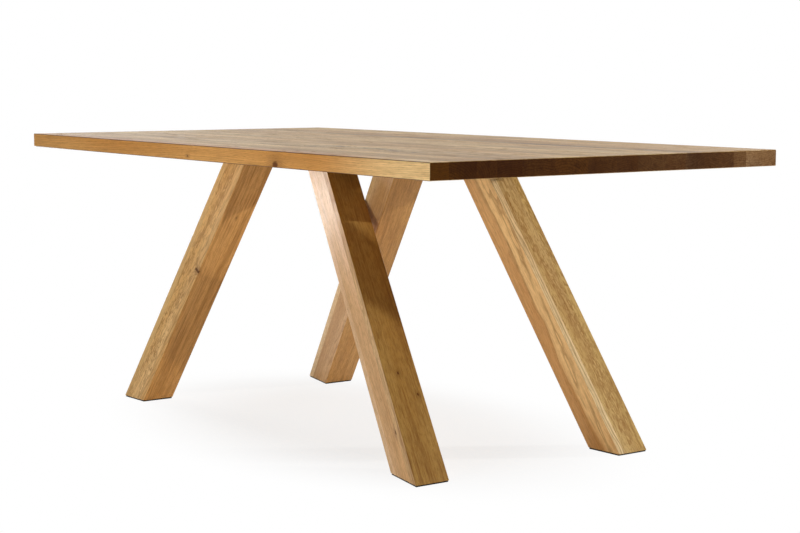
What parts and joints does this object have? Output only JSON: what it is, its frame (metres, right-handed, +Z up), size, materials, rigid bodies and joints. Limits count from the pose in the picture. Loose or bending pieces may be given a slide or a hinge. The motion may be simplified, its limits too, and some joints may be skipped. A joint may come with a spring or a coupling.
{
  "type": "sawbuck table",
  "caption": "Long solid oak dining table: a glued-up plank top on thick square legs that lean in different directions and cross under the middle.",
  "frame": {"origin": "on the floor under the middle of the table top", "axes": "+X along the top towards the near end in the picture, +Y across it towards the back, +Z up"},
  "size_m": [2, 1, 0.76],
  "materials": {
    "oak_top": "oiled",
    "oak_legs": "oiled",
    "bracket_steel": "matt black powder coat",
    "fastener_steel": "zinc plated",
    "felt": "pressed felt"
  },
  "bodies": {
    "root": {"bracket_pins": "fastener_steel", "crossing_leg_far_bracket": "bracket_steel", "crossing_leg_far_core": "oak_legs", "crossing_leg_far_foot_pad": "felt", "crossing_leg_far_left_board": "oak_legs", "crossing_leg_far_right_board": "oak_legs", "crossing_leg_near_bracket": "bracket_steel", "crossing_leg_near_core": "oak_legs", "crossing_leg_near_foot_pad": "felt", "crossing_leg_near_left_board": "oak_legs", "crossing_leg_near_right_board": "oak_legs", "outer_leg_far_bracket": "bracket_steel", "outer_leg_far_core": "oak_legs", "outer_leg_far_foot_pad": "felt", "outer_leg_far_left_board": "oak_legs", "outer_leg_far_right_board": "oak_legs", "outer_leg_near_back_board": "oak_legs", "outer_leg_near_bracket": "bracket_steel", "outer_leg_near_core": "oak_legs", "outer_leg_near_foot_pad": "felt", "outer_leg_near_front_board": "oak_legs", "plate_bolts": "fastener_steel", "threaded_inserts": "fastener_steel", "top_stave_01": "oak_top", "top_stave_02": "oak_top", "top_stave_03": "oak_top", "top_stave_04": "oak_top", "top_stave_05": "oak_top", "top_stave_06": "oak_top", "top_stave_07": "oak_top", "top_stave_08": "oak_top", "top_stave_09": "oak_top", "top_stave_10": "oak_top", "top_stave_11": "oak_top", "top_stave_12": "oak_top", "top_stave_13": "oak_top", "top_stave_14": "oak_top"}
  },
  "joints": []
}
